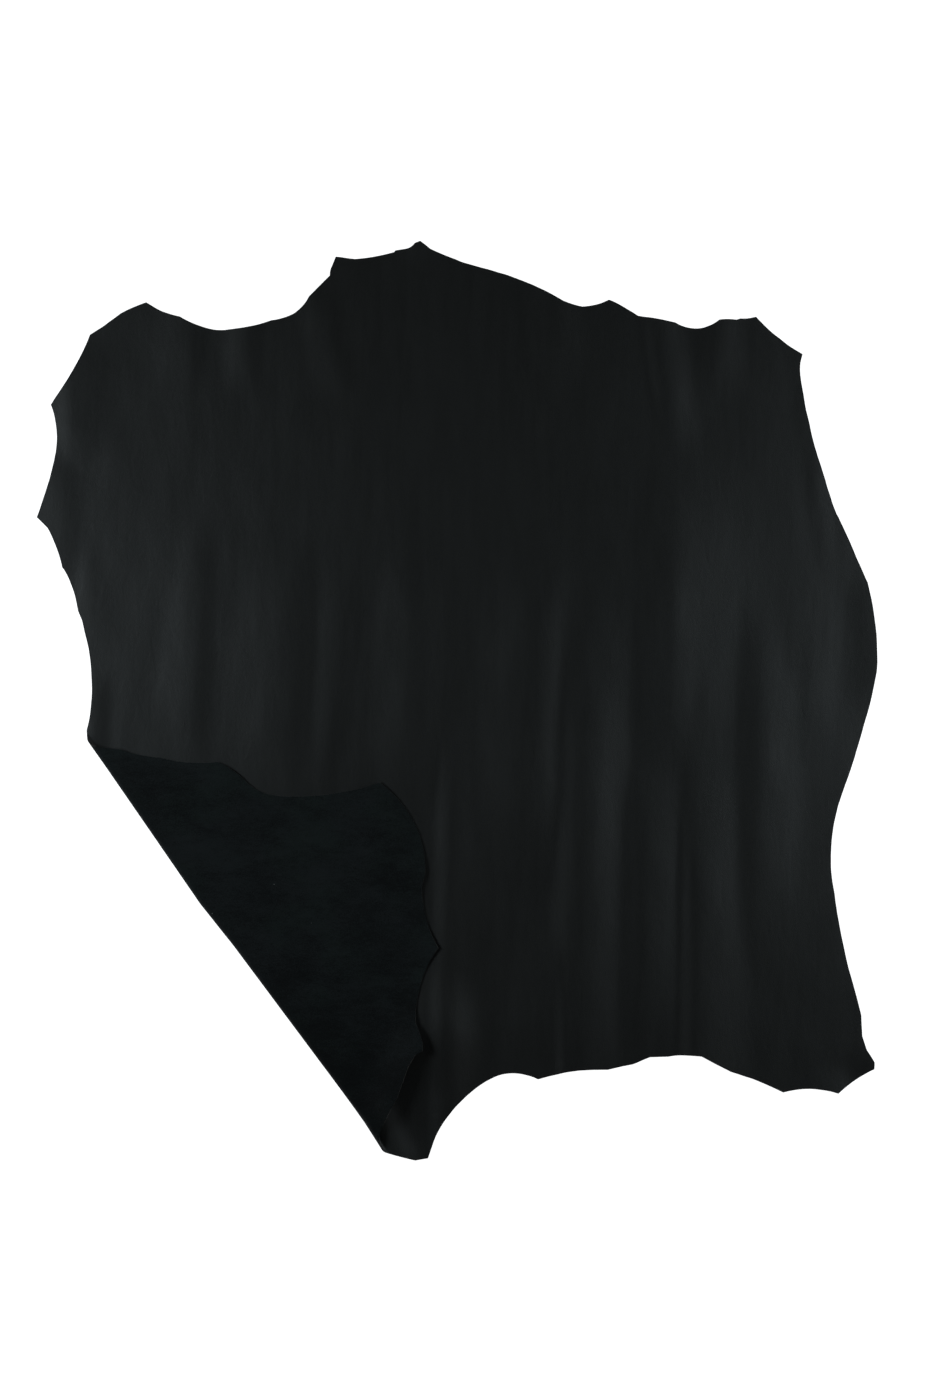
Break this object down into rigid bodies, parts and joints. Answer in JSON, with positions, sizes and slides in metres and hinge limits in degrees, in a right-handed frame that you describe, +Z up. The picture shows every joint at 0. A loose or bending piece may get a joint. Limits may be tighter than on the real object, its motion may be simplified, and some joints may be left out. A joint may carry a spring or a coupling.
{
  "type": "leather hide",
  "caption": "Whole calf leather hide lying flat with its smooth grain side up and one hind shank folded over to show the suede side.",
  "frame": {"origin": "middle of the lying hide's bounding box in plan, on the surface that it lies on", "axes": "+Z up from the surface, +Y towards the neck along the hide's longer side, +X towards the right flank; the folded corner is at -X -Y"},
  "size_m": [1.259, 1.377, 0.0277],
  "materials": {
    "black_leather": "satin black grain with a fine pebble, dark suede on the back and at the folded corner"
  },
  "bodies": {
    "root": {"hide": "black_leather"}
  },
  "joints": []
}
